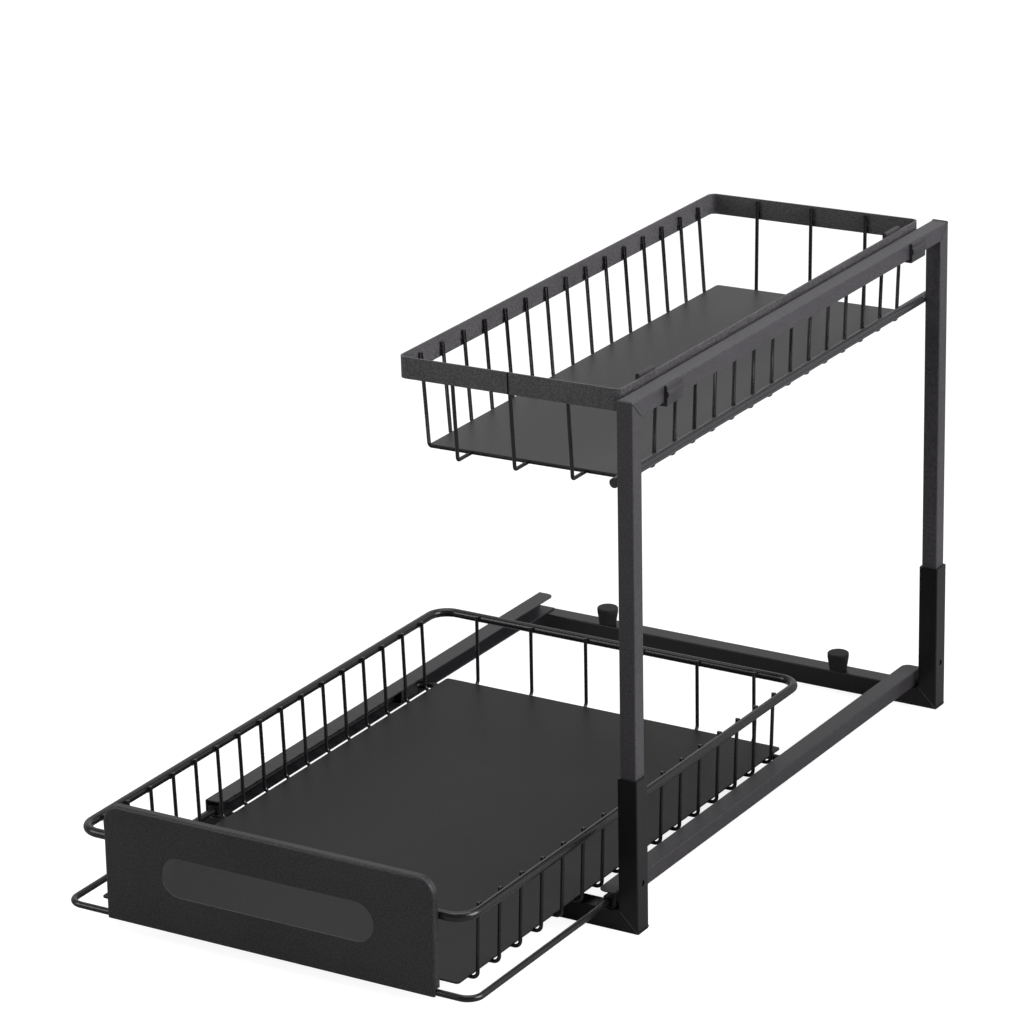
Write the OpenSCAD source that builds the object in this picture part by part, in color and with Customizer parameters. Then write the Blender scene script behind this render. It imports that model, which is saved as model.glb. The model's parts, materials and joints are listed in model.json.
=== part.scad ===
// Two-tier pull-out cabinet basket in bent wire and sheet steel.
// A low frame carries a sliding lower basket in two channel rails. A portal of
// square tube stands on its right side and carries a narrow upper basket that
// lifts off.
// X runs across the unit with the portal on the right, Y from front to back, Z up.
// The origin is on the floor, in the middle of the whole outline.

/* [Frame] */
// Depth over the two uprights
frame_depth = 400; // [340:5:520]
// Height of the top rail above the floor
frame_height = 324; // [290:2:400]
// Side of the square upright tube
post_w = 10.4; // [9:0.2:13]
// Wall of the upright tube
post_wall = 1; // [0.8:0.1:1.4]
// Clearance between an upright and its socket, each side
socket_clear = 0.2; // [0.1:0.05:0.4]
// Wall of the socket and crossbar tube
socket_wall = 1; // [0.8:0.1:1.6]
// Height of the sockets
socket_height = 96; // [60:2:130]
// Outer corner radius of the square tubes
tube_round = 0.8; // [0.6:0.1:1.8]
// Crossbar length beyond the left slide rail
crossbar_overhang = 1.5; // [0.5:0.5:12]
// Thickness of the head of a crossbar end plug
plug_head = 1.5; // [1:0.5:3]
// Depth of an end plug inside its tube
plug_depth = 9; // [6:1:15]
// Vent hole in the outer side of each socket
vent_d = 3.6; // [2:0.2:5]
// Height of the vent hole
vent_height = 30.6; // [20:1:50]

/* [Support rod] */
// Diameter of the rod that the upper basket leans on
rod_d = 6; // [4:0.5:8]
// Height of the rod
rod_height = 274.3; // [250:1:300]
// Distance from the frame's front and back to the rod's ends
rod_inset = 2; // [0.5:0.5:6]

/* [Slide rails] */
// Width of a channel rail
rail_w = 12.1; // [11.5:0.1:15]
// Height of a channel rail
rail_h = 10; // [9:0.2:13]
// Sheet thickness of the rails
rail_sheet = 0.8; // [0.6:0.1:1.2]
// Gap between the right rail and the sockets
rail_gap = 3; // [1:0.5:10]
// Distance from the frame's front and back to the rail ends
rail_inset = 0.5; // [0:0.5:5]
// Radius of the rounded corners at the ends of the upper lip
lip_round = 5; // [2:0.5:7]
// Running clearance of the slide wire and glides in the channel
run_clear = 0.3; // [0.2:0.05:0.5]
// Length of the plastic guide at the front of each rail
guide_len = 12; // [8:1:20]
// Length of the glide on each side of the slide wire
glide_len = 20; // [12:1:30]

/* [Lower basket] */
// Width of the rim, between wire centres
basket_w = 262.4; // [200:2:340]
// Distance that the rim's back stands in front of the frame's back
rim_back_gap = 145.9; // [120:1:200]
// Length of the rim, between wire centres
basket_l = 398.3; // [320:2:440]
// Diameter of the rim wire
rim_d = 5.6; // [4:0.2:6]
// Height of the rim wire's centre
rim_height = 61.7; // [50:1:90]
// Corner radius of the rim, at the wire's centre
rim_round = 13; // [8:1:30]
// Diameter of the basket wires
wire_d = 2.3; // [2:0.1:3.4]
// Number of cross wires
lower_cross_count = 16; // [10:1:24]
// Distance from the rim's front to the first cross wire
lower_cross_front = 20; // [14:1:30]
// Distance from the last cross wire to the rim's back
lower_cross_back = 28.5; // [26:0.5:50]
// Inward lean of the wire walls from rim to tray
lower_lean = 1.7; // [0:0.1:2.5]
// Number of upright wires in the back wall
back_wire_count = 6; // [2:1:10]
// Distance from the outermost back wire to the rim's side
back_wire_margin = 30.5; // [20:1:50]
// Thickness of both tray sheets
tray_sheet = 1; // [0.6:0.1:1.5]
// Height of the lower tray's upper face
tray_height = 18.9; // [18.9:0.1:24]
// Centre radius of the bends under the lower tray
wire_bend = 4; // [4:0.5:8]

/* [Slide wire] */
// Diameter of the slide wire
slide_d = 4; // [3:0.2:4.6]
// Distance from the rim's side to the slide wire, between centres
slide_outset = 6.9; // [5:0.1:9]
// Side clearance of the slide wire in its channel
slide_side_clear = 2.3; // [1:0.1:4]
// Corner radius at the front of the slide wire
slide_front_round = 9; // [6:1:30]
// Corner radius at the back of the slide wire
slide_back_round = 10; // [6:1:14]

/* [Front panel] */
// Width of the front panel
panel_w = 223; // [160:1:260]
// Sideways offset of the panel from the middle of the basket
panel_shift = 3.2; // [0:0.2:5]
// Height of the front panel's top edge above the floor
panel_top = 85.5; // [75:1:120]
// Radius of the panel's upper corners
panel_round = 11; // [6:1:20]
// Sheet thickness of the panel
panel_sheet = 1; // [0.8:0.1:1.5]
// Depth of the panel's returns
panel_depth = 5.2; // [4:0.2:8]
// Outer radius of the fold between face and returns
panel_fold = 2; // [1.2:0.2:3]
// Width of the finger slot
slot_w = 144; // [80:1:150]
// Height of the finger slot
slot_h = 24.6; // [20:0.2:30]
// Height of the middle of the finger slot
slot_height = 49.2; // [44:0.5:52]

/* [Upper basket] */
// Width of the upper basket over its rim strip
upper_w = 147.4; // [110:0.2:180]
// Length of the upper basket over its rim strip
upper_l = 376; // [300:2:388]
// Height of the rim strip
strip_h = 13; // [10:0.5:18]
// Thickness of the rim strip
strip_t = 1.2; // [1:0.1:2]
// Outer corner radius of the rim strip
strip_round = 5; // [4:0.5:20]
// Height of the strip's upper edge above the top rail
strip_rise = 2.4; // [2:0.1:6]
// Gap between the top rail and the rim strip
strip_gap = 3.6; // [3:0.1:6]
// Height of the upper tray's upper face
upper_tray_height = 268.5; // [262:0.1:276]
// Distance from the basket's front to the tray
upper_tray_front = 19; // [12:0.5:19]
// Centre radius of the bends under the upper tray
upper_bend = 2; // [2:0.5:8]
// Inward lean of the cross wires
upper_lean = 3.3; // [1:0.1:4]
// Inward lean of the wires in the front and back walls
upper_end_lean = 3.4; // [1:0.1:6]
// Number of cross wires
upper_cross_count = 15; // [9:1:21]
// Distance from the basket's ends to the first and last cross wires
upper_cross_margin = 21.5; // [20:0.1:40]
// Number of wires in the front wall, and in the back wall
upper_end_count = 3; // [2:1:5]
// Distance from the outer ones of them to the basket's sides
upper_end_margin = 35.5; // [24:0.5:50]
// Distance that they all stand left of the basket's middle
upper_end_shift = 0.8; // [0:0.1:2]
// Degrees that the free side of the basket hangs down in its clips
upper_sag = 1; // [0:0.1:1.5]

/* [Basket clips] */
// Length of the clips that hold the upper basket, along the top rail
clip_len = 18; // [10:0.5:20]
// Thickness of their tabs
clip_t = 2.8; // [2:0.1:3.4]
// Height of the clip's inner tab above the rim strip
tab_rise = 2; // [0:0.5:4]
// Clearance between the clip's tab and the strip and wires
clip_clear = 0.3; // [0.2:0.05:0.5]
// Thickness of the clip's outer leg
clip_leg = 2; // [1.2:0.1:3]

/* [Bumpers] */
// Radius of a bumper's head
bumper_r = 7; // [5:0.5:9]
// Radius of a bumper's base
bumper_base_r = 5.6; // [4:0.2:6]
// Height of a bumper
bumper_h = 11.7; // [9:0.1:14]
// Distance from the middle of the lower basket to each bumper
bumper_spread = 86.2; // [50:1:120]
// Diameter of the bumper's peg
peg_d = 4; // [3:0.2:5]

/* [Hidden] */
$fn = 64;

frame_coat = [0.30, 0.29, 0.30];
basket_coat = [0.17, 0.17, 0.18];
black_plastic = [0.10, 0.10, 0.11];
rubber = [0.20, 0.20, 0.21];

weld_gap = 0.05;  // between round wires and what they are welded to
seat_gap = 0.1;   // between an upright's foot and the floor of its socket
over = 1;         // how far cutting shapes run past the faces they cut
tuck = 0.1;       // how far a straight length of wire runs into a bend
tuck_relief = 0.02;  // how much thinner than a bend it is there

// Tubes. The uprights' outer face is X 0 and their front face is Y 0 here.
tube_w = post_w + 2 * (socket_clear + socket_wall);
post_x = -post_w / 2;
front_y = post_w / 2;
rear_y = frame_depth - post_w / 2;
socket_right = post_x + tube_w / 2;
socket_left = post_x - tube_w / 2;
rod_x = -post_w - rod_d / 2 - weld_gap;

// Rails, and the middle plane of the lower basket
rail_span = basket_w + 2 * (slide_outset + slide_d / 2 + slide_side_clear + rail_sheet);
mid_x = socket_left - rail_gap - rail_span / 2;
rail_floor = tube_w + rail_sheet;
crossbar_left = mid_x - rail_span / 2 - crossbar_overhang;

// Lower basket
rim_x = basket_w / 2;
rim_back = frame_depth - rim_back_gap;
rim_front = rim_back - basket_l;
slide_x = rim_x + slide_outset;
slide_z = rail_floor + run_clear + slide_d / 2;
wire_top = rim_height + rim_d / 2 - wire_d / 4;
lower_wire_x = rim_x - rim_d / 2 - weld_gap - wire_d / 2;
lower_wire_z = tray_height - tray_sheet - wire_d / 2;
lower_tray_half = lower_wire_x - lower_lean - wire_bend + weld_gap;
lower_cross_pitch = (basket_l - lower_cross_front - lower_cross_back)
    / (lower_cross_count - 1);
back_wire_y = rim_back - rim_d / 2 - weld_gap - wire_d / 2;
last_cross_y = rim_back - lower_cross_back;
slide_back = (last_cross_y + back_wire_y) / 2 - slide_d / 4;
back_foot_y = slide_back + slide_d / 2 + over;

// Front panel
panel_back = rim_front - rim_d / 2 - weld_gap;
panel_front = panel_back - panel_depth;
panel_bottom = slide_z - slide_d / 2;
slide_front = panel_front + panel_sheet + weld_gap + slide_d / 2;
return_bottom = slide_z + slide_d / 2 + over / 2;

// Upper basket
upper_right = -post_w - strip_gap;
upper_left = upper_right - upper_w;
upper_mid = (upper_right + upper_left) / 2;
upper_front = (frame_depth - upper_l) / 2;
upper_back = upper_front + upper_l;
strip_top = frame_height + strip_rise;
strip_bottom = strip_top - strip_h;
upper_wire_half = upper_w / 2 - strip_t - weld_gap - wire_d / 2;
upper_wire_top = strip_top - wire_d / 2;
upper_wire_z = upper_tray_height - tray_sheet - wire_d / 2;
upper_tray_half = upper_wire_half - upper_lean - upper_bend + weld_gap;
upper_end_inset = strip_t + weld_gap + wire_d / 2;
upper_tray_back = upper_end_inset + upper_end_lean + upper_bend - weld_gap;
upper_cross_pitch = (upper_l - 2 * upper_cross_margin) / (upper_cross_count - 1);
function upper_cross_y(i) = upper_front + upper_cross_margin + i * upper_cross_pitch;

// Clips stand between two neighbouring cross wires of the upper basket
clip_bead = 1;
tab_right = upper_right - strip_t - clip_clear - strip_h * sin(upper_sag);
tab_left = tab_right - clip_t;
clip_floor = frame_height - post_w - clip_leg;
tab_top = strip_top + tab_rise;

// Glides and bumpers
glide_front = slide_back - slide_back_round - over - glide_len;
guide_front = rail_inset + over / 2;
bumper_y = frame_depth - post_w / 2 - (bumper_r - bumper_base_r);

// Middle of the outline, which the origin stands under
outline_left = crossbar_left - plug_head;
outline_right = clip_leg + clip_bead;
outline_front = panel_front;
outline_rear = rear_y + tube_w / 2;
module standing() {
    translate([-(outline_left + outline_right) / 2, -(outline_front + outline_rear) / 2, 0])
        children();
}

// The upper basket turned about the lower right edge of its strip, its free side down
module hung() {
    translate([upper_right, 0, strip_bottom]) rotate([0, -upper_sag, 0])
        translate([-upper_right, 0, -strip_bottom]) children();
}

// Flat outlines

module rounded_rect(w, h, r) {
    square([w - 2 * r, h], center = true);
    square([w, h - 2 * r], center = true);
    for (x = [-1, 1], y = [-1, 1])
        translate([x * (w / 2 - r), y * (h / 2 - r)]) circle(r);
}

module tube_section(w, wall) {
    difference() {
        rounded_rect(w, w, tube_round);
        rounded_rect(w - 2 * wall, w - 2 * wall, max(tube_round - wall, 0.2));
    }
}

// Solids that many pieces share

// Square tube along Z
module tube(w, wall, length) {
    linear_extrude(length) tube_section(w, wall);
}

// All space in front of a plane through the origin that faces +X before it is turned
module beyond(turn) {
    reach = 4 * tube_w;
    rotate(turn) translate([0, -reach / 2, -reach / 2]) cube(reach);
}

function heading(a, b) = atan2(b[1] - a[1], b[0] - a[0]);
function turn_at(a, b, c) =
    let (t = heading(b, c) - heading(a, b)) t > 180 ? t - 360 : t < -180 ? t + 360 : t;
function trim_at(a, b, c, r) = r * tan(abs(turn_at(a, b, c)) / 2);

// One straight length of wire in the XY plane, cut back at each end for a bend.
// It is a hair thinner than the bends and runs a little way into them.
module wire_run(a, b, d, trim_a, trim_b) {
    from = trim_a > 0 ? trim_a - tuck : 0;
    to = norm(b - a) - (trim_b > 0 ? trim_b - tuck : 0);
    translate([a[0], a[1], 0]) rotate([0, 0, heading(a, b)])
        translate([from, 0, 0]) rotate([0, 90, 0])
            cylinder(h = to - from, d = d - tuck_relief);
}

// One bend of radius r at point b, between the runs from a and to c
module wire_bend_at(a, b, c, d, r) {
    t = turn_at(a, b, c);
    side = t > 0 ? 1 : -1;
    h = heading(a, b);
    translate([b[0], b[1], 0]) rotate([0, 0, h])
        translate([-trim_at(a, b, c, r), side * r, 0])
            rotate([0, 0, t > 0 ? -90 : 90 + t])
                rotate_extrude(angle = abs(t)) translate([r, 0]) circle(d = d);
}

// Wire along a route of points in the XY plane, with one radius per corner
module bent_wire(route, d, radii) {
    last = len(route) - 1;
    function trim(i) = i == 0 || i == last ? 0
        : trim_at(route[i - 1], route[i], route[i + 1], radii[i - 1]);
    for (i = [0 : last - 1])
        wire_run(route[i], route[i + 1], d, trim(i), trim(i + 1));
    for (i = [1 : last - 1])
        wire_bend_at(route[i - 1], route[i], route[i + 1], d, radii[i - 1]);
}

// Closed loop of wire, a rectangle with its own radii at the front and the back
module wire_loop(half_w, front, back, d, front_r, back_r) {
    start = [0, front];
    bent_wire([start, [half_w, front], [half_w, back], [-half_w, back],
        [-half_w, front], start], d, [front_r, back_r, back_r, front_r]);
}

// U of wire that stands on its bend, in a plane square to Y
module cross_wire(half_top, half_foot, foot_z, top_z, r) {
    rotate([90, 0, 0])
        bent_wire([[-half_top, top_z], [-half_foot, foot_z], [half_foot, foot_z],
            [half_top, top_z]], wire_d, [r, r]);
}

// Frame

module crossbar(y) {
    difference() {
        translate([crossbar_left, y, tube_w / 2]) rotate([0, 90, 0])
            tube(tube_w, socket_wall, socket_right - crossbar_left);
        translate([socket_right, y, 0]) beyond([0, -45, 0]);
        if (y == rear_y) bumper_places() cylinder(h = tube_w + over, d = peg_d + 2 * weld_gap);
    }
}

module front_crossbar() color(frame_coat) standing() crossbar(front_y);

module rear_crossbar() color(frame_coat) standing() crossbar(rear_y);

module crossbar_end_plugs() color(black_plastic) standing() {
    bore = tube_w - 2 * socket_wall;
    for (y = [front_y, rear_y])
        translate([crossbar_left, y, tube_w / 2]) rotate([0, 90, 0]) {
            translate([0, 0, -plug_head]) linear_extrude(plug_head)
                rounded_rect(tube_w, tube_w, tube_round);
            linear_extrude(plug_depth) rounded_rect(bore - 2 * seat_gap, bore - 2 * seat_gap, 0.8);
        }
}

module socket(y) {
    difference() {
        translate([post_x, y, 0]) tube(tube_w, socket_wall, socket_height);
        translate([socket_right, y, 0]) beyond([0, 135, 0]);
        translate([socket_right - socket_wall - socket_clear / 2, y, vent_height])
            rotate([0, 90, 0]) cylinder(h = socket_wall + over, d = vent_d);
    }
}

module front_socket() color(frame_coat) standing() socket(front_y);

module rear_socket() color(frame_coat) standing() socket(rear_y);

// Space on one side of the mitre at the top corner of the portal that stands at y
module mitre_side(y, tilt) {
    translate([post_x, y, frame_height]) rotate([0, 0, 90]) beyond([0, tilt, 0]);
}

// An upright stands on the floor of its socket. What is above its mitre is cut away.
module upright(y) {
    foot = socket_wall + seat_gap;
    difference() {
        translate([post_x, y, foot]) tube(post_w, post_wall, frame_height - foot);
        children();
    }
}

module front_upright() color(frame_coat) standing() upright(front_y) mitre_side(0, -45);

module rear_upright() color(frame_coat) standing()
    upright(rear_y) mitre_side(frame_depth, -135);

module top_rail() color(frame_coat) standing() {
    difference() {
        translate([post_x, frame_depth, frame_height - post_w / 2]) rotate([90, 0, 0])
            tube(post_w, post_wall, frame_depth);
        mitre_side(0, 135);
        mitre_side(frame_depth, 45);
    }
}

module support_rod() color(frame_coat) standing() {
    translate([rod_x, rod_inset, rod_height]) rotate([-90, 0, 0])
        cylinder(h = frame_depth - 2 * rod_inset, d = rod_d);
}

// Section of the right rail: its web stands at X 0 and it opens towards -X
module channel_section() {
    bend_r = rail_sheet + seat_gap;
    module solid_section(w, h, r) {
        translate([-w, 0]) square([w - r, h]);
        translate([-w, r]) square([w, h - 2 * r]);
        for (z = [r, h - r]) translate([-r, z]) circle(r);
    }
    difference() {
        solid_section(rail_w, rail_h, bend_r);
        translate([-rail_sheet, rail_sheet])
            solid_section(rail_w, rail_h - 2 * rail_sheet, bend_r - rail_sheet);
    }
}

module rounding_cut(r, h) {
    difference() {
        translate([-over, -over, 0]) cube([r + over, r + over, h]);
        translate([r, r, -over]) cylinder(r = r, h = h + 2 * over);
    }
}

// Right rail, with its web on the plane X 0 and its foot at Z 0
module slide_rail() {
    near = rail_inset;
    far = frame_depth - rail_inset;
    difference() {
        translate([0, far, 0]) rotate([90, 0, 0]) linear_extrude(far - near) channel_section();
        translate([-rail_w, near, rail_h / 2]) rounding_cut(lip_round, rail_h);
        translate([-rail_w, far, rail_h / 2]) mirror([0, 1, 0]) rounding_cut(lip_round, rail_h);
    }
}

// Puts a right-hand piece in its place on the right rail, or mirrors it to the left one
module on_rail(side) {
    translate([mid_x, 0, tube_w]) mirror([side < 0 ? 1 : 0, 0, 0])
        translate([rail_span / 2, 0, 0]) children();
}

module left_slide_rail() color(frame_coat) standing() on_rail(-1) slide_rail();

module right_slide_rail() color(frame_coat) standing() on_rail(1) slide_rail();

// Block inside a rail, with a slot that holds or clears the slide wire
module channel_block(y, length, clear, slot_r) {
    w = rail_w - rail_sheet - 2 * clear;
    h = rail_h - 2 * rail_sheet - 2 * clear;
    wire_at = slide_x - rail_span / 2;
    difference() {
        translate([-rail_sheet - clear - w, y, rail_sheet + clear]) cube([w, length, h]);
        translate([wire_at, y - over, slide_z - tube_w]) rotate([-90, 0, 0])
            cylinder(r = slot_r, h = length + 2 * over);
        translate([wire_at - slot_r, y - over, 0])
            cube([2 * slot_r, length + 2 * over, slide_z - tube_w]);
    }
}

module rail_guide() {
    channel_block(guide_front, guide_len, seat_gap, slide_d / 2 + run_clear);
}

module left_rail_guide() color(black_plastic) standing() on_rail(-1) rail_guide();

module right_rail_guide() color(black_plastic) standing() on_rail(1) rail_guide();

module bumper_places() {
    for (side = [-1, 1])
        translate([mid_x + side * bumper_spread, bumper_y, tube_w / 2]) children();
}

// Rubber bumper that stops the tray, with a waist, a domed edge and a peg in the crossbar
module rear_bumpers() color(rubber) standing() {
    edge = 1;
    head = 3;
    bumper_places() translate([0, 0, tube_w / 2]) {
        rotate_extrude() {
            polygon([[0, 0], [bumper_base_r, 0], [bumper_r, bumper_h - head],
                [bumper_r, bumper_h - edge], [bumper_r - edge, bumper_h], [0, bumper_h]]);
            intersection() {
                translate([bumper_r - edge, bumper_h - edge]) circle(edge);
                translate([bumper_r - edge, bumper_h - edge]) square(edge);
            }
        }
        translate([0, 0, -socket_wall]) cylinder(h = socket_wall + over, d = peg_d);
    }
}

// Upright bar of a clip section with round corners at its top
module clip_bar(left, right, foot, top) {
    r = (right - left) / 2;
    translate([left, foot]) square([right - left, top - r - foot]);
    translate([left + r, top - r]) circle(r);
}

// Section of a basket clip in X and Z. It wraps the top rail from outside and below,
// carries the rim strip on a step and holds it with a tab inside the basket.
module clip_section() {
    rail_under = frame_height - post_w;
    wall_left = upper_right + clip_clear;
    tab_mid = (tab_left + tab_right) / 2;
    bead_r = post_w / 4;
    edge = clip_leg / 2;
    // outer leg, with a bead along its middle
    clip_bar(0, clip_leg, clip_floor + edge, frame_height);
    intersection() {
        translate([clip_leg + clip_bead - bead_r, frame_height - post_w / 2]) circle(bead_r);
        translate([edge, clip_floor]) square([clip_leg + clip_bead, post_w]);
    }
    // floor under the rail, with a round outer corner
    translate([edge, clip_floor + edge]) circle(edge);
    translate([wall_left, clip_floor]) square([edge - wall_left, rail_under - clip_floor]);
    // wall between the rail and the strip
    translate([wall_left, clip_floor + edge])
        square([-post_w - wall_left, frame_height - post_w / 4 - clip_floor - edge]);
    // step under the rim strip
    translate([tab_mid, clip_floor])
        square([wall_left + edge - tab_mid, strip_bottom - clip_clear - clip_floor]);
    // tab with a round top and a round foot
    translate([tab_mid, clip_floor + clip_t / 2]) circle(clip_t / 2);
    clip_bar(tab_left, tab_right, clip_floor + clip_t / 2, tab_top);
}

// Clip in the gap after cross wire i
module basket_clip(i) {
    middle = (upper_cross_y(i) + upper_cross_y(i + 1)) / 2;
    translate([0, middle + clip_len / 2, 0]) rotate([90, 0, 0])
        linear_extrude(clip_len) clip_section();
}

module front_basket_clip() color(black_plastic) standing() basket_clip(0);

module rear_basket_clip() color(black_plastic) standing() basket_clip(upper_cross_count - 2);

// Lower basket

// Outline of the front panel, shrunk all round by a given amount, foot on Z 0
module panel_outline(inset) {
    w = panel_w - 2 * inset;
    h = panel_top - panel_bottom - inset;
    r = panel_round - inset;
    translate([-w / 2, 0]) square([w, h - r]);
    translate([-w / 2 + r, 0]) square([w - 2 * r, h]);
    for (side = [-1, 1]) translate([side * (w / 2 - r), h - r]) circle(r);
}

// Block with the panel's outline, whose front edge is rounded at the sides and the top
module panel_block(inset, fold, depth) {
    w = panel_w - 2 * inset;
    h = panel_top - panel_bottom - inset;
    r = panel_round - inset;
    translate([0, depth, 0]) rotate([90, 0, 0]) linear_extrude(depth - fold) panel_outline(inset);
    translate([0, fold, 0]) rotate([90, 0, 0]) linear_extrude(fold) panel_outline(inset + fold);
    for (side = [-1, 1]) {
        translate([side * (w / 2 - fold), fold, 0]) cylinder(r = fold, h = h - r);
        translate([side * (w / 2 - r), fold, h - r]) rotate([90, 0, 0])
            rotate([0, 0, side < 0 ? 90 : 0]) rotate_extrude(angle = 90)
                translate([r - fold, 0]) circle(fold);
    }
    translate([-w / 2 + r, fold, h - fold]) rotate([0, 90, 0])
        cylinder(r = fold, h = w - 2 * r);
}

module slot_outline() {
    square([slot_w - slot_h, slot_h], center = true);
    for (side = [-1, 1]) translate([side * (slot_w - slot_h) / 2, 0]) circle(slot_h / 2);
}

// Space behind the panel's face, open at the back and at the foot
module panel_hollow() {
    for (z = [-over, 0]) translate([0, 0, z])
        panel_block(panel_sheet, panel_fold - panel_sheet, panel_depth);
}

// Pressed sheet with returns at the sides and the top, and a finger slot
module front_panel() color(basket_coat) standing()
    translate([mid_x + panel_shift, panel_front, panel_bottom]) difference() {
        panel_block(0, panel_fold, panel_depth);
        translate([0, panel_sheet, 0]) panel_hollow();
        translate([0, panel_sheet + over, slot_height - panel_bottom]) rotate([90, 0, 0])
            linear_extrude(panel_sheet + 2 * over) slot_outline();
        // the returns end above the slide wire, which runs out on both sides of the panel
        translate([-panel_w / 2 - over, panel_sheet, -over])
            cube([panel_w + 2 * over, panel_depth, return_bottom - panel_bottom + over]);
    }

module lower_rim_wire() color(basket_coat) standing()
    translate([mid_x, 0, rim_height])
        wire_loop(rim_x, rim_front, rim_back, rim_d, rim_round, rim_round);

module slide_wire() color(basket_coat) standing()
    translate([mid_x, 0, slide_z])
        wire_loop(slide_x, slide_front, slide_back, slide_d, slide_front_round, slide_back_round);

module tray(half_w, front, back, top) {
    corner_r = 2;
    translate([0, (front + back) / 2, top - tray_sheet]) linear_extrude(tray_sheet)
        rounded_rect(2 * half_w, back - front, corner_r);
}

module lower_tray() color(basket_coat) standing()
    translate([mid_x, 0, 0])
        tray(lower_tray_half, rim_front + rim_d, back_wire_y - wire_bend + weld_gap, tray_height);

module lower_cross_wires() color(basket_coat) standing()
    for (i = [0 : lower_cross_count - 1])
        translate([mid_x, rim_front + lower_cross_front + i * lower_cross_pitch, 0])
            cross_wire(lower_wire_x, lower_wire_x - lower_lean, lower_wire_z, wire_top, wire_bend);

// Upright wires of the back wall, each with a short foot under the tray
module lower_back_wires() color(basket_coat) standing() {
    spread = basket_w - 2 * back_wire_margin;
    for (i = [0 : back_wire_count - 1])
        translate([mid_x - spread / 2 + i * spread / (back_wire_count - 1), 0, 0])
            rotate([90, 0, 90])
                bent_wire([[back_wire_y, wire_top], [back_wire_y, lower_wire_z],
                    [back_foot_y, lower_wire_z]], wire_d, [wire_bend]);
}

module rear_glide() {
    channel_block(glide_front, glide_len, run_clear, slide_d / 2 + weld_gap);
}

module left_rear_glide() color(black_plastic) standing() on_rail(-1) rear_glide();

module right_rear_glide() color(black_plastic) standing() on_rail(1) rear_glide();

// Upper basket

module upper_rim_strip() color(basket_coat) standing() hung()
    translate([upper_mid, (upper_front + upper_back) / 2, strip_bottom])
        linear_extrude(strip_h) difference() {
            rounded_rect(upper_w, upper_l, strip_round);
            rounded_rect(upper_w - 2 * strip_t, upper_l - 2 * strip_t, strip_round - strip_t);
        }

module upper_tray() color(basket_coat) standing() hung()
    translate([upper_mid, 0, 0])
        tray(upper_tray_half, upper_front + upper_tray_front, upper_back - upper_tray_back,
            upper_tray_height);

module upper_cross_wires() color(basket_coat) standing() hung()
    for (i = [0 : upper_cross_count - 1])
        translate([upper_mid, upper_cross_y(i), 0])
            cross_wire(upper_wire_half, upper_wire_half - upper_lean, upper_wire_z,
                upper_wire_top, upper_bend);

// Upright wires of one end wall, each with a foot under the tray that is welded to the
// nearest cross wire. The wall stands at Y 0 and the basket lies behind it.
module end_wires() {
    spread = upper_w - 2 * upper_end_margin;
    first_x = upper_mid - upper_end_shift - spread / 2;
    foot_y = upper_cross_margin - wire_d / 2 - weld_gap;
    for (i = [0 : upper_end_count - 1])
        translate([first_x + i * spread / (upper_end_count - 1), 0, 0])
            rotate([90, 0, 90])
                bent_wire([[upper_end_inset, upper_wire_top],
                    [upper_end_inset + upper_end_lean, upper_wire_z],
                    [foot_y, upper_wire_z]], wire_d, [upper_bend]);
}

module upper_front_wires() color(basket_coat) standing() hung()
    translate([0, upper_front, 0]) end_wires();

module upper_back_wires() color(basket_coat) standing() hung()
    translate([0, upper_back, 0]) mirror([0, 1, 0]) end_wires();

front_crossbar();
rear_crossbar();
crossbar_end_plugs();
front_socket();
rear_socket();
front_upright();
rear_upright();
top_rail();
support_rod();
left_slide_rail();
right_slide_rail();
left_rail_guide();
right_rail_guide();
rear_bumpers();
front_basket_clip();
rear_basket_clip();
front_panel();
lower_rim_wire();
slide_wire();
lower_tray();
lower_cross_wires();
lower_back_wires();
left_rear_glide();
right_rear_glide();
upper_rim_strip();
upper_tray();
upper_cross_wires();
upper_front_wires();
upper_back_wires();
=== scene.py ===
# %% [markdown]
# # A pull-out cabinet basket in Blender
# The object is an under-sink organiser: a low frame of square tube, a wire basket that
# slides out in two channels, and a narrow basket clipped to a portal on the right. Its
# metal and plastic parts come in as a fixed frame, each at its true size and place, and
# this lesson gives them their finishes and the small details that a workshop leaves on
# them: weld beads, mitre seams and a butt joint.

# %% Load the frame
import json
import math

import bpy
from mathutils import Matrix, Vector


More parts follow.
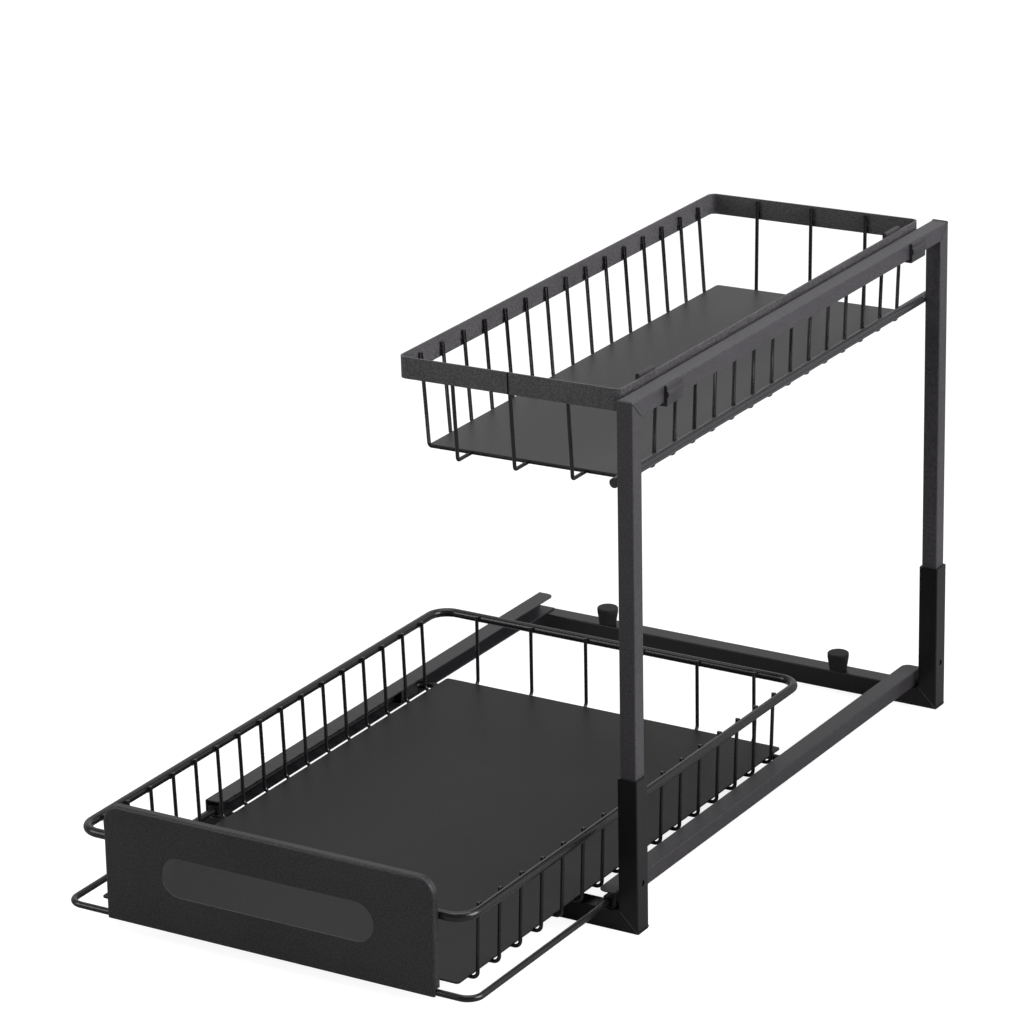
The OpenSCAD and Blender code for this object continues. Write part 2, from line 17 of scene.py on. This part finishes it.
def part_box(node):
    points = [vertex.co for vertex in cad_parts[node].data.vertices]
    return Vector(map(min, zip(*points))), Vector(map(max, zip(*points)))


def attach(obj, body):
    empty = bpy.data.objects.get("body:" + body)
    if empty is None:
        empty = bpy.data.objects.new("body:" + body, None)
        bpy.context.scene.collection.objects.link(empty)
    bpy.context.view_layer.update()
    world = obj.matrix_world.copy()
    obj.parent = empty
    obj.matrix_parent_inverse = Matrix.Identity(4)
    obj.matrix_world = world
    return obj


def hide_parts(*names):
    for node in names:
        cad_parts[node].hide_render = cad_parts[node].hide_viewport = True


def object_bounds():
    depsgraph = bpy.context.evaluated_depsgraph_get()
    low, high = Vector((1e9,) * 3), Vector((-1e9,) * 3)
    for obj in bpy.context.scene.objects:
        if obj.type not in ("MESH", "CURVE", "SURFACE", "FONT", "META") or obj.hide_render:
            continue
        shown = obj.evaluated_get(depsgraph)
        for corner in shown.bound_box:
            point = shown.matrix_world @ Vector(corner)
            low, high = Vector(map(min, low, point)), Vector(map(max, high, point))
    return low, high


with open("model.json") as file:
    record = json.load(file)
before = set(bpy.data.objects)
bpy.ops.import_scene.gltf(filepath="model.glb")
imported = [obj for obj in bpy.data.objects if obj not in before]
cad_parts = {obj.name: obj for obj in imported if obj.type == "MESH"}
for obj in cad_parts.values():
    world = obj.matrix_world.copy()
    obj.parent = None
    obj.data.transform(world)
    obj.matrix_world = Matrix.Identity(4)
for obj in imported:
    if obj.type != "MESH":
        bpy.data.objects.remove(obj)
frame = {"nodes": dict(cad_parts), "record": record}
nodes = frame["nodes"]
cad_low, cad_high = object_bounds()
MM = 0.001
print("pieces in the frame:", len(nodes))

# %% [markdown]
# ## Where the camera stands
# The view is a long lens from the right and a little above, so that parallel edges stay
# nearly parallel. It is set by a target point, two angles, a distance and a slight roll.

# %% Camera
AZIMUTH, ELEVATION, ROLL = math.radians(31.16), math.radians(19.99), math.radians(-1.06)
TARGET = Vector((-49.76, 75.525, 161.45)) * MM
DISTANCE = 2989.06 * MM
SENSOR = 36
FOCAL_LENGTH_IN_WIDTHS = 4816.47 / 1024

away = Vector((math.sin(AZIMUTH) * math.cos(ELEVATION),
               -math.cos(AZIMUTH) * math.cos(ELEVATION), math.sin(ELEVATION)))
level_right = Vector((math.cos(AZIMUTH), math.sin(AZIMUTH), 0))
level_up = level_right.cross(-away)
right = level_right * math.cos(ROLL) + level_up * math.sin(ROLL)
up = level_up * math.cos(ROLL) - level_right * math.sin(ROLL)

camera = bpy.data.objects.new("camera", bpy.data.cameras.new("camera"))
bpy.context.scene.collection.objects.link(camera)
camera.data.lens = FOCAL_LENGTH_IN_WIDTHS * SENSOR
camera.data.sensor_width = SENSOR
camera.data.clip_end = 20
turn = Matrix((right, up, away)).transposed().to_4x4()
camera.matrix_world = Matrix.Translation(TARGET + away * DISTANCE) @ turn
bpy.context.scene.camera = camera
print("camera at", [round(v, 3) for v in camera.location])

# %% [markdown]
# ## Shader maths in plain expressions
# A small class wraps a socket, so that a mask reads as 1 - noise * 0.4 and each operator
# adds its own Math node. Every other node comes from one method.


# %% A graph helper
class Value:
    def __init__(self, graph, socket):
        self.graph, self.socket = graph, socket

    def maths(self, operation, other):
        return self.graph.add("ShaderNodeMath", {"operation": operation}, {0: self, 1: other})[0]

    def flipped(self, operation, other):
        return self.graph.add("ShaderNodeMath", {"operation": operation}, {0: other, 1: self})[0]

    def __add__(self, other):
        return self.maths("ADD", other)

    def __radd__(self, other):
        return self.flipped("ADD", other)

    def __sub__(self, other):
        return self.maths("SUBTRACT", other)

    def __rsub__(self, other):
        return self.flipped("SUBTRACT", other)

    def __mul__(self, other):
        return self.maths("MULTIPLY", other)

    def __rmul__(self, other):
        return self.flipped("MULTIPLY", other)

    def step(self, low, high):
        return self.graph.add("ShaderNodeMapRange", {"interpolation_type": "SMOOTHSTEP"},
                              {"Value": self, "From Min": low, "From Max": high})[0]


class Graph:
    def __init__(self, owner):
        owner.use_nodes = True
        self.tree = owner.node_tree
        self.tree.nodes.clear()

    def add(self, kind, settings, values):
        node = self.tree.nodes.new(kind)
        for name, setting in settings.items():
            setattr(node, name, setting)
        for name, value in values.items():
            if isinstance(value, Value):
                self.tree.links.new(value.socket, node.inputs[name])
            else:
                node.inputs[name].default_value = value
        return [Value(self, s) for s in node.outputs if s.enabled]

    def place(self):
        coordinates = self.tree.nodes.new("ShaderNodeTexCoord")
        return Value(self, coordinates.outputs["Object"])

    def noise(self, scale, detail=2, roughness=0.5):
        return self.add("ShaderNodeTexNoise", {}, {
            "Vector": self.place(), "Scale": scale, "Detail": detail, "Roughness": roughness})[0]

    def blend(self, factor, dark, light):
        """A colour between two, by a factor. The sockets of a colour mix go by number."""
        node = self.tree.nodes.new("ShaderNodeMix")
        node.data_type = "RGBA"
        self.tree.links.new(factor.socket, node.inputs[0])
        node.inputs[6].default_value = (*dark, 1)
        node.inputs[7].default_value = (*light, 1)
        return Value(self, node.outputs[2])

    def surface(self, values):
        shader = self.add("ShaderNodeBsdfPrincipled", {}, values)[0]
        self.add("ShaderNodeOutputMaterial", {}, {"Surface": shader})


def shade(colour, by):
    return tuple(c * by for c in colour)


# %% [markdown]
# ## Powder coat
# The steel is powder coated. Sprayed powder melts to a skin with an even grain about a
# millimetre wide, finer specks in it, and a slight waviness that spreads the highlights.
# The grain goes into the colour, the gloss and the bump alike, because light catches each
# little hump. Flat sheet shows it most, and thin wire hardly at all.


# %% Powder coat
HUMP_SCALE, SPECK_SCALE, WAVE_SCALE = 900, 2300, 20


def powder_coat(name, colour, roughness, grain, depth=0.09, shine=0.5):
    """A coat of one colour. depth is the height of its grain in millimetres."""
    material = bpy.data.materials.new(name)
    g = Graph(material)
    hump = g.noise(HUMP_SCALE)
    speck = g.noise(SPECK_SCALE, roughness=0.6)
    wave = g.noise(WAVE_SCALE, detail=3)
    tint = (hump * 0.55 + speck * 0.3 + wave * 0.15).step(0.36, 0.64)
    base = g.blend(tint, shade(colour, 1 - 0.42 * grain), shade(colour, 1 + 0.5 * grain))
    bump = g.add("ShaderNodeBump", {}, {
        "Strength": min(grain, 1), "Distance": depth * MM, "Height": hump * 0.7 + speck * 0.3})[0]
    gloss = roughness + (speck - 0.5) * 0.2 + (hump - 0.5) * 0.16 + (wave - 0.5) * 0.08
    g.surface({"Base Color": base, "Roughness": gloss, "Normal": bump, "IOR": 1.48,
               "Specular IOR Level": shine})
    return material


frame_coat = powder_coat("frame_coat", (0.044, 0.0415, 0.0455), 0.42, 0.8)
rail_coat = powder_coat("rail_coat", (0.031, 0.0295, 0.032), 0.44, 0.8, shine=0.35)
base_coat = powder_coat("base_coat", (0.0045, 0.0045, 0.005), 0.34, 0.45, shine=0.4)
wire_coat = powder_coat("wire_coat", (0.0095, 0.0095, 0.0102), 0.25, 0.4)
rod_coat = powder_coat("rod_coat", (0.028, 0.0268, 0.029), 0.24, 0.5)
tray_coat = powder_coat("tray_coat", (0.03, 0.0285, 0.029), 0.45, 0.8)
# The lower tray's coat is much darker than the upper tray's: painted shade for the shade it lies
# in below the upper basket.
painted_shade_tray_coat = powder_coat("painted_shade_tray_coat", (0.008, 0.008, 0.0088), 0.48, 0.9, shine=0.25)
panel_coat = powder_coat("panel_coat", (0.018, 0.018, 0.0195), 0.46, 1.6, depth=0.26)
strip_coat = powder_coat("strip_coat", (0.07, 0.0675, 0.0705), 0.5, 1.1, depth=0.12)
# A near-black coat that paints the shade inside the mitre grooves and the strip's butt slit.
painted_shade_groove = powder_coat("painted_shade_groove", (0.0015, 0.0015, 0.0015), 0.8, 0.4, shine=0.1)

# %% [markdown]
# ## Plastic and rubber
# Clips, plugs, guides and glides are moulded in black plastic with a faint spark texture
# from the mould. The bumpers are duller rubber, which scatters nearly all its light.


# %% Plastic and rubber
MOULD_WAVE_SCALE, SPARK_DEPTH = 60, 0.06


def moulded(name, colour, roughness, texture, strength):
    """A moulded plastic. texture is the scale of the spark texture, strength its bump."""
    material = bpy.data.materials.new(name)
    g = Graph(material)
    spark = g.noise(texture)
    wave = g.noise(MOULD_WAVE_SCALE)
    base = g.blend((wave * 0.5 + spark * 0.5).step(0.38, 0.62), shade(colour, 0.8),
                   shade(colour, 1.25))
    bump = g.add("ShaderNodeBump", {}, {
        "Strength": strength, "Distance": SPARK_DEPTH * MM, "Height": spark})[0]
    g.surface({"Base Color": base, "Roughness": roughness + (spark - 0.5) * 0.24,
               "Normal": bump, "IOR": 1.47, "Specular IOR Level": 0.4})
    return material


black_plastic = moulded("black_plastic", (0.007, 0.007, 0.008), 0.36, 1900, 0.35)
clip_plastic = moulded("clip_plastic", (0.032, 0.0305, 0.0335), 0.4, 1900, 0.4)
rubber = moulded("rubber", (0.006, 0.0058, 0.006), 0.66, 1200, 0.55)

# %% [markdown]
# ## Which piece gets which finish
# A slot names what a piece is made of. Some pieces have a coat of their own, of another tone
# or grain. The lower tray's coat is much darker than the upper tray's: that is painted shade,
# for the shade the tray lies in below the upper basket.

# %% Finishes on the fixed pieces
finishes = {"frame_coat": frame_coat, "basket_coat": wire_coat,
            "black_plastic": black_plastic, "rubber": rubber}
own_finish = {
    "upper_rim_strip": strip_coat, "upper_tray": tray_coat, "lower_tray": painted_shade_tray_coat,
    "front_panel": panel_coat, "support_rod": rod_coat,
    "front_socket": base_coat, "rear_socket": base_coat,
    "front_crossbar": base_coat, "rear_crossbar": base_coat,
    "left_slide_rail": rail_coat, "right_slide_rail": rail_coat,
    "front_basket_clip": clip_plastic, "rear_basket_clip": clip_plastic}
slot_of = {s["node"]: s["material_slot"] for s in frame["record"]["subparts"]}
for name, piece in nodes.items():
    piece.data.materials.clear()
    piece.data.materials.append(own_finish.get(name, finishes[slot_of[name]]))
print("finished nodes:", len(slot_of))

# %% [markdown]
# ## Pieces that are cut down
# Three pieces of the frame are a little larger than the real ones. The cross wires of the
# upper basket end some millimetres below the strip's upper edge, and each plastic guide is a
# low cradle round the slide wire, with daylight between it and the rail's lip. Each is made
# as a copy of its solid, merged and then cut with planes, which keeps its place exact.


# %% Cut copies
SHIFT = Vector((150.5, -124.475, 0))
STRIP_RIGHT, STRIP_FRONT, STRIP_LOW = -14.0, 12.0, 313.4
SAG = math.radians(-1)
SMOOTH_UP_TO = math.radians(40)
MERGE_WITHIN, CUT_WITHIN = 0.001 * MM, 0.0001 * MM
hinge = Vector((STRIP_RIGHT, 0, STRIP_LOW))
sag = Matrix.Translation(hinge) @ Matrix.Rotation(SAG, 4, "Y") @ Matrix.Translation(-hinge)
# places are in millimetres from the floor below the front upright's outer front edge
to_metres = Matrix.Scale(MM, 4) @ Matrix.Translation(SHIFT)


def cut_copy(node, name, cuts, body):
    """A copy of a node that keeps what lies behind each plane, given as (point, normal)."""
    piece = bpy.data.objects.new(name, nodes[node].data.copy())
    bpy.context.scene.collection.objects.link(piece)
    bpy.ops.object.select_all(action="DESELECT")
    piece.select_set(True)
    bpy.context.view_layer.objects.active = piece
    bpy.ops.object.mode_set(mode="EDIT")
    bpy.ops.mesh.select_all(action="SELECT")
    bpy.ops.mesh.remove_doubles(threshold=MERGE_WITHIN)
    for point, normal in cuts:
        bpy.ops.mesh.select_all(action="SELECT")
        bpy.ops.mesh.bisect(plane_co=point, plane_no=normal, clear_outer=True, use_fill=True,
                            threshold=CUT_WITHIN)
    bpy.ops.object.mode_set(mode="OBJECT")
    bpy.ops.object.shade_smooth_by_angle(angle=SMOOTH_UP_TO)
    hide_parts(node)
    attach(piece, body)
    print(name, "faces:", len(piece.data.polygons))


WIRE_TOP = 322.6
wire_end = to_metres @ sag @ Vector((STRIP_RIGHT, 0, WIRE_TOP))
cut_copy("upper_cross_wires", "upper_cross_wires_cut",
         [(wire_end, sag.to_3x3() @ Vector((0, 0, 1)))], "upper_basket")

GUIDE_TOP, WIRE_IN_RAIL, CRADLE_WALL = 19.0, 5.1, 3.2
LEFT_WEB, RIGHT_WEB = -301.0, -14.6
for node, web, inward in (("left_rail_guide", LEFT_WEB, 1), ("right_rail_guide", RIGHT_WEB, -1)):
    open_side = Vector((web + inward * (WIRE_IN_RAIL + CRADLE_WALL), 0, 0))
    cut_copy(node, node + "_cradle",
             [(to_metres @ Vector((0, 0, GUIDE_TOP)), (0, 0, 1)),
              (to_metres @ open_side, (inward, 0, 0))], "frame")

# %% [markdown]
# ## Weld beads
# Every wire is welded to its rim, which leaves a small rippled bead beside the wire under
# the coat. One bead is modelled and then copied. It starts as a cylinder along X. Its sides
# are cut into rings, every second ring swells a little for the ripple, its ends are drawn
# in, and it is flattened, because molten metal spreads.


# %% Helpers for modelling
def pick(test):
    """Selects the active object's vertices whose place passes a test, in edit mode."""
    bpy.ops.mesh.select_all(action="DESELECT")
    bpy.ops.mesh.select_mode(type="VERT")
    bpy.ops.object.mode_set(mode="OBJECT")
    for vertex in bpy.context.object.data.vertices:
        vertex.select = test(vertex.co)
    bpy.ops.object.mode_set(mode="EDIT")


def finish_shape(piece, *modifiers):
    """Applies modifiers given as (type, settings) and smooths all but sharp edges."""
    for kind, settings in modifiers:
        modifier = piece.modifiers.new(kind.lower(), kind)
        for name, value in settings.items():
            setattr(modifier, name, value)
        bpy.ops.object.modifier_apply(modifier=modifier.name)
    bpy.ops.object.shade_smooth_by_angle(angle=SMOOTH_UP_TO)


# %% One bead
SPANS = 6
END_SWELL, HIGH_SWELL, LOW_SWELL = 0.5, 1.12, 0.94


def make_bead(length, width, height):
    """A bead along X, with its size in millimetres."""
    length, width, height = length * MM, width * MM, height * MM
    bpy.ops.object.select_all(action="DESELECT")
    bpy.ops.mesh.primitive_cylinder_add(vertices=8, radius=width / 2, depth=length,
                                        rotation=(0, math.pi / 2, 0))
    bead = bpy.context.object
    bpy.ops.object.transform_apply(rotation=True)
    bpy.ops.object.mode_set(mode="EDIT")
    for ring in range(1, SPANS):
        bpy.ops.mesh.select_all(action="SELECT")
        bpy.ops.mesh.bisect(plane_co=(length * (ring / SPANS - 0.5), 0, 0), plane_no=(1, 0, 0))
    for ring in range(SPANS + 1):
        at = length * (ring / SPANS - 0.5)
        pick(lambda co: abs(co.x - at) < length / 40)
        swell = END_SWELL if ring in (0, SPANS) else HIGH_SWELL if ring % 2 else LOW_SWELL
        bpy.ops.transform.resize(value=(1, swell, swell))
    bpy.ops.mesh.select_all(action="SELECT")
    bpy.ops.transform.resize(value=(1, 1, height / width))
    bpy.ops.object.mode_set(mode="OBJECT")
    finish_shape(bead, ("SUBSURF", {"levels": 1, "render_levels": 1}))
    return bead


# %% Copies joined into one piece
def join(name, pieces, body, coat):
    """Joins pieces into one, gives it its finish and hangs it on a body."""
    bpy.ops.object.select_all(action="DESELECT")
    for piece in pieces:
        piece.select_set(True)
    bpy.context.view_layer.objects.active = pieces[0]
    if len(pieces) > 1:
        bpy.ops.object.join()
    whole = bpy.context.object
    whole.name = name
    whole.data.materials.clear()
    whole.data.materials.append(coat)
    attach(whole, body)
    print(name, "has", len(pieces), "parts and", len(whole.data.polygons), "faces")


def scatter(name, template, places, body, coat):
    """Copies a template to each place and joins the copies."""
    copies = []
    for matrix in places:
        copy = template.copy()
        copy.data = template.data.copy()
        copy.data.transform(matrix)
        bpy.context.scene.collection.objects.link(copy)
        copies.append(copy)
    join(name, copies, body, coat)


def discard(template):
    """Removes a template when all its copies are in place."""
    bpy.data.objects.remove(template, do_unlink=True)


# %% [markdown]
# ## Beads of the two baskets
# The beads stand upright in the corner between a wire and its rim, one on each side of the
# wire. The upper basket hangs one degree down on its free side, so its beads are turned
# about the same edge as the basket.

# %% Where beads go
UPRIGHT = Matrix.Rotation(math.pi / 2, 4, "Y")
LEVEL = Matrix.Identity(4)
TO_MM = Matrix.Scale(1 / MM, 4)
WIRE_R = 1.15


def bead_at(x, y, z, facing=0.0, tilt=LEVEL):
    """Matrix for an upright bead at a point in millimetres, turned about Z."""
    stand = Matrix.Translation((x, y, z)) @ Matrix.Rotation(facing, 4, "Z") @ UPRIGHT
    return to_metres @ tilt @ stand @ TO_MM


# %% Beads of the upper basket
STRIP_W, STRIP_L, STRIP_T = 147.4, 376.0, 1.2
CROSS_WIRES, CROSS_INSET = 15, 21.5
END_WIRES, END_PITCH, END_OFFSET = 3, 38.2, -0.8
STRIP_SEAT, STRIP_BESIDE, STRIP_RISE = 0.35, WIRE_R + 0.05, 3.2

middle_x = STRIP_RIGHT - STRIP_W / 2
cross_pitch = (STRIP_L - 2 * CROSS_INSET) / (CROSS_WIRES - 1)
bead_z = STRIP_LOW + STRIP_RISE
strip_places = []
for i in range(CROSS_WIRES):
    y = STRIP_FRONT + CROSS_INSET + i * cross_pitch
    for side in (-1, 1):
        x = middle_x + side * (STRIP_W / 2 - STRIP_T - STRIP_SEAT)
        for beside in (-1, 1):
            strip_places.append(bead_at(x, y + beside * STRIP_BESIDE, bead_z, 0, sag))
for i in range(END_WIRES):
    x = middle_x + END_OFFSET + (i - 1) * END_PITCH
    for y in (STRIP_FRONT + STRIP_T + STRIP_SEAT, STRIP_FRONT + STRIP_L - STRIP_T - STRIP_SEAT):
        for beside in (-1, 1):
            strip_places.append(bead_at(x + beside * STRIP_BESIDE, y, bead_z, math.pi / 2, sag))

basket_bead = make_bead(length=4.2, width=1.1, height=0.8)
scatter("strip_weld_beads", basket_bead, strip_places, "upper_basket", wire_coat)

# %% Beads of the lower basket
RIM_X, RIM_FRONT, RIM_BACK, RIM_R, RIM_Z = 131.2, -144.2, 254.1, 2.8, 61.7
SIDE_WIRES, FIRST_SIDE_WIRE, LAST_SIDE_WIRE = 16, 20, 28.5
BACK_WIRES, BACK_INSET = 6, 30.5
RIM_SEAT, RIM_BESIDE, RIM_RISE = 0.2, WIRE_R + 0.1, 0.2

rim_low, rim_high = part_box("lower_rim_wire")
basket_x = (rim_low[0] + rim_high[0]) / 2 / MM - SHIFT.x
side_pitch = (RIM_BACK - RIM_FRONT - FIRST_SIDE_WIRE - LAST_SIDE_WIRE) / (SIDE_WIRES - 1)
bead_z = RIM_Z + RIM_RISE
rim_places = []
for i in range(SIDE_WIRES):
    y = RIM_FRONT + FIRST_SIDE_WIRE + i * side_pitch
    for side in (-1, 1):
        x = basket_x + side * (RIM_X - RIM_R - RIM_SEAT)
        for beside in (-1, 1):
            rim_places.append(bead_at(x, y + beside * RIM_BESIDE, bead_z))
for i in range(BACK_WIRES):
    x = basket_x + (i / (BACK_WIRES - 1) - 0.5) * 2 * (RIM_X - BACK_INSET)
    for beside in (-1, 1):
        rim_places.append(bead_at(x + beside * RIM_BESIDE, RIM_BACK - RIM_R - RIM_SEAT, bead_z,
                                  math.pi / 2))
scatter("rim_weld_beads", basket_bead, rim_places, "lower_basket", wire_coat)
discard(basket_bead)

# %% [markdown]
# ## Beads on the support rod
# The rod lies against the inner faces of the two uprights. Each weld runs along the groove
# above the rod and starts a little before the upright, where its end can be seen. The beads
# take the strip's lighter coat, which is a painted highlight for the light their tops catch.

# %% Rod beads
POST, DEPTH, ROD_Z = 10.4, 400.0, 274.3
INTO_POST, BESIDE_POST, ABOVE_ROD = 1.4, 0.75, 1.95
LEAN = math.radians(38)

rod_places = []
for y in (POST - INTO_POST, DEPTH - POST + INTO_POST):
    lay = (Matrix.Translation((-POST - BESIDE_POST, y, ROD_Z + ABOVE_ROD))
           @ Matrix.Rotation(math.pi / 2, 4, "Z") @ Matrix.Rotation(LEAN, 4, "X"))
    rod_places.append(to_metres @ lay @ TO_MM)
rod_bead = make_bead(length=7.6, width=2.2, height=1.7)
# The rod beads take the strip's lighter coat: a painted highlight where their tops catch the
# light.
scatter("rod_weld_beads_painted_highlight", rod_bead, rod_places, "frame", strip_coat)
discard(rod_bead)

# %% [markdown]
# ## Seams
# The tubes meet in mitres. Under the coat each mitre still shows on the tube's sides, as a
# thin dark groove with a bright lip where one tube stands a hair higher. The groove's shade is
# painted, as a thin near-black plate; the lip is a thin plate in the frame's coat. Both stand
# in the cut, hardly wider than the tube: each is a cube, its corners bevelled like the tube's,
# its rim rounded, and its middle hidden in the metal.


# %% Seams
TUBE, TOP = 12.8, 324.0
PLATE_CORNER, PLATE_SHORTER, PLATE_RIM = 0.8, 0.8, 0.1
INSIDE_BOX = 0.02


def trim_to_box():
    """Cuts off what the active object has outside the whole object's box."""
    bpy.ops.object.mode_set(mode="EDIT")
    for corner, facing in ((cad_low, 1), (cad_high, -1)):
        for k in range(3):
            normal = Vector((0, 0, 0))
            normal[k] = facing
            bpy.ops.mesh.select_all(action="SELECT")
            bpy.ops.mesh.bisect(plane_co=Vector(corner) + normal * INSIDE_BOX * MM,
                                plane_no=normal, clear_inner=True, use_fill=True,
                                threshold=CUT_WITHIN)
    bpy.ops.object.mode_set(mode="OBJECT")


def mitre_plate(width, axis, at, angle, thick, beside, proud):
    """A plate along a mitre between two tubes of one width. axis is what it is turned about."""
    bpy.ops.object.select_all(action="DESELECT")
    bpy.ops.mesh.primitive_cube_add(size=1)
    plate = bpy.context.object
    bpy.ops.object.mode_set(mode="EDIT")
    across = width + 2 * proud
    along = width * math.sqrt(2) - PLATE_SHORTER
    size = (along, across, thick) if axis == "Y" else (across, along, thick)
    bpy.ops.mesh.select_all(action="SELECT")
    bpy.ops.transform.resize(value=[v * MM for v in size])
    bpy.ops.transform.translate(value=(0, 0, beside * MM))
    bpy.ops.object.mode_set(mode="OBJECT")
    for edge in plate.data.edges:
        a, b = (plate.data.vertices[v].co for v in edge.vertices)
        edge.select = abs(a.z - b.z) > thick * MM / 2
    bpy.ops.object.mode_set(mode="EDIT")
    bpy.ops.mesh.select_mode(type="EDGE")
    bpy.ops.mesh.bevel(offset=PLATE_CORNER * MM, segments=4)
    bpy.ops.object.mode_set(mode="OBJECT")
    finish_shape(plate, ("BEVEL", {"width": PLATE_RIM * MM, "segments": 2,
                                   "limit_method": "ANGLE"}))
    plate.data.transform(to_metres @ Matrix.Translation(at)
                         @ Matrix.Rotation(math.radians(angle), 4, axis) @ TO_MM)
    trim_to_box()
    return plate


corners = [(TUBE, "Y", (-POST / 2, y, TUBE / 2), 45) for y in (POST / 2, DEPTH - POST / 2)]
corners += [(POST, "X", (-POST / 2, y, TOP - POST / 2), angle)
            for y, angle in ((POST / 2, -45), (DEPTH - POST / 2, 45))]
# The seam lines are near-black plates, painted shade of the mitre grooves; the lips are relief in
# the frame's coat.
for name, coat, thick, beside, proud in (("seam_lines", painted_shade_groove, 0.6, 0, 0.06),
                                         ("seam_lips", frame_coat, 0.35, 0.45, 0.12)):
    plates = [mitre_plate(*corner, thick, beside, proud) for corner in corners]
    join(name, plates, "frame", coat)

# %% [markdown]
# ## Butt joint of the rim strip
# The strip is bent round and its ends meet in the middle of the front. The joint is a
# narrow dark slit from edge to edge, and the end on its right stands a little proud and
# catches the light. The slit's shade is painted, as a thin near-black inlay; the proud end is
# a thin inlay in the strip's coat. Both hug the strip and are made from bevelled cubes.


# %% Butt joint
STRIP_H, INLAY_HIGHER, INLAY_RIM = 13.0, 0.04, 0.1
SLIT_WIDTH, LIP_WIDTH, LIP_BESIDE = 1.1, 0.6, 0.85


def strip_inlay(x, width, proud):
    """An inlay over the strip's whole height at x, standing out by proud on both faces."""
    bpy.ops.object.select_all(action="DESELECT")
    bpy.ops.mesh.primitive_cube_add(size=1)
    inlay = bpy.context.object
    bpy.ops.object.mode_set(mode="EDIT")
    bpy.ops.mesh.select_all(action="SELECT")
    size = (width, STRIP_T + 2 * proud, STRIP_H + INLAY_HIGHER)
    bpy.ops.transform.resize(value=[v * MM for v in size])
    bpy.ops.mesh.bevel(offset=INLAY_RIM * MM, segments=3)
    bpy.ops.object.mode_set(mode="OBJECT")
    middle = (x, STRIP_FRONT + STRIP_T / 2, STRIP_LOW + STRIP_H / 2)
    inlay.data.transform(to_metres @ sag @ Matrix.Translation(middle) @ TO_MM)
    finish_shape(inlay)
    return inlay


# The slit is a near-black inlay: painted shade of the gap between the strip's ends.
join("strip_joint_painted_shade", [strip_inlay(middle_x, SLIT_WIDTH, 0.06)], "upper_basket",
     painted_shade_groove)
join("strip_joint_lip", [strip_inlay(middle_x + LIP_BESIDE, LIP_WIDTH, 0.2)], "upper_basket",
     strip_coat)

# %% [markdown]
# ## Floor, room and light
# The floor is plain and pale and runs out into a white room. Only the eye and clear rays see
# the room as white. The object is lit by a softer room that is dim in front, a large softbox
# on the right, one above and one near the front on the left.

# %% Floor
NEAR, FAR = 0.55, 1.8
NEAR_GLOW, FAR_EXTRA = 0.76, 0.24

bpy.ops.object.select_all(action="DESELECT")
bpy.ops.mesh.primitive_plane_add(size=12, location=(0, 1, 0))
floor = bpy.context.object
floor.name = "floor"
paper = bpy.data.materials.new("paper")
g = Graph(paper)
seen = g.add("ShaderNodeLightPath", {}, {})[0]
reach = g.add("ShaderNodeVectorMath", {"operation": "LENGTH"}, {0: g.place()})[0]
glow_strength = seen * (NEAR_GLOW + reach.step(NEAR, FAR) * FAR_EXTRA)
diffuse = g.add("ShaderNodeBsdfDiffuse", {}, {"Color": (0.4, 0.4, 0.4, 1)})[0]
glow = g.add("ShaderNodeEmission", {}, {"Color": (1, 1, 1, 1), "Strength": glow_strength})[0]
both = g.add("ShaderNodeAddShader", {}, {0: diffuse, 1: glow})[0]
g.add("ShaderNodeOutputMaterial", {}, {"Surface": both})
floor.data.materials.append(paper)
print("floor:", paper.name)

# %% Room
FRONT_WALL, REAR_EXTRA, MIRROR_EXTRA = 0.13, 0.18, 0.35

world = bpy.data.worlds.new("room")
bpy.context.scene.world = world
g = Graph(world)
ray = {value.socket.name: value for value in g.add("ShaderNodeLightPath", {}, {})}
white = ray["Is Camera Ray"].maths("MAXIMUM", ray["Is Transmission Ray"])
direction = g.add("ShaderNodeSeparateXYZ", {}, {"Vector": g.place()})
behind = direction[1].step(-0.5, 0.8)
walls = FRONT_WALL + behind * (REAR_EXTRA + ray["Is Glossy Ray"] * MIRROR_EXTRA)
strength = g.add("ShaderNodeMix", {"data_type": "FLOAT"},
                 {"Factor": white, "A": walls, "B": 1.0})[0]
room = g.add("ShaderNodeBackground", {}, {"Color": (1, 1, 1, 1), "Strength": strength})[0]
g.add("ShaderNodeOutputWorld", {}, {"Surface": room})
print("room:", world.name)


# %% Softboxes
def softbox(name, place, size, watts, colour=(1, 1, 1)):
    lamp = bpy.data.lights.new(name, "AREA")
    lamp.shape, lamp.size, lamp.energy, lamp.color = "SQUARE", size, watts, colour
    holder = bpy.data.objects.new(name, lamp)
    bpy.context.scene.collection.objects.link(holder)
    holder.location = place
    holder.rotation_euler = (TARGET - Vector(place)).to_track_quat("-Z", "Y").to_euler()
    print(name, "watts:", watts)


softbox("right_box", (2.2, 0.2, 1.3), 1.6, 66, (0.98, 0.96, 1.0))
softbox("top_box", (-0.2, 0.2, 2.4), 1.8, 22)
softbox("left_box", (-1.2, -1.25, 0.8), 0.9, 10)
bpy.context.scene.view_settings.view_transform = "Standard"
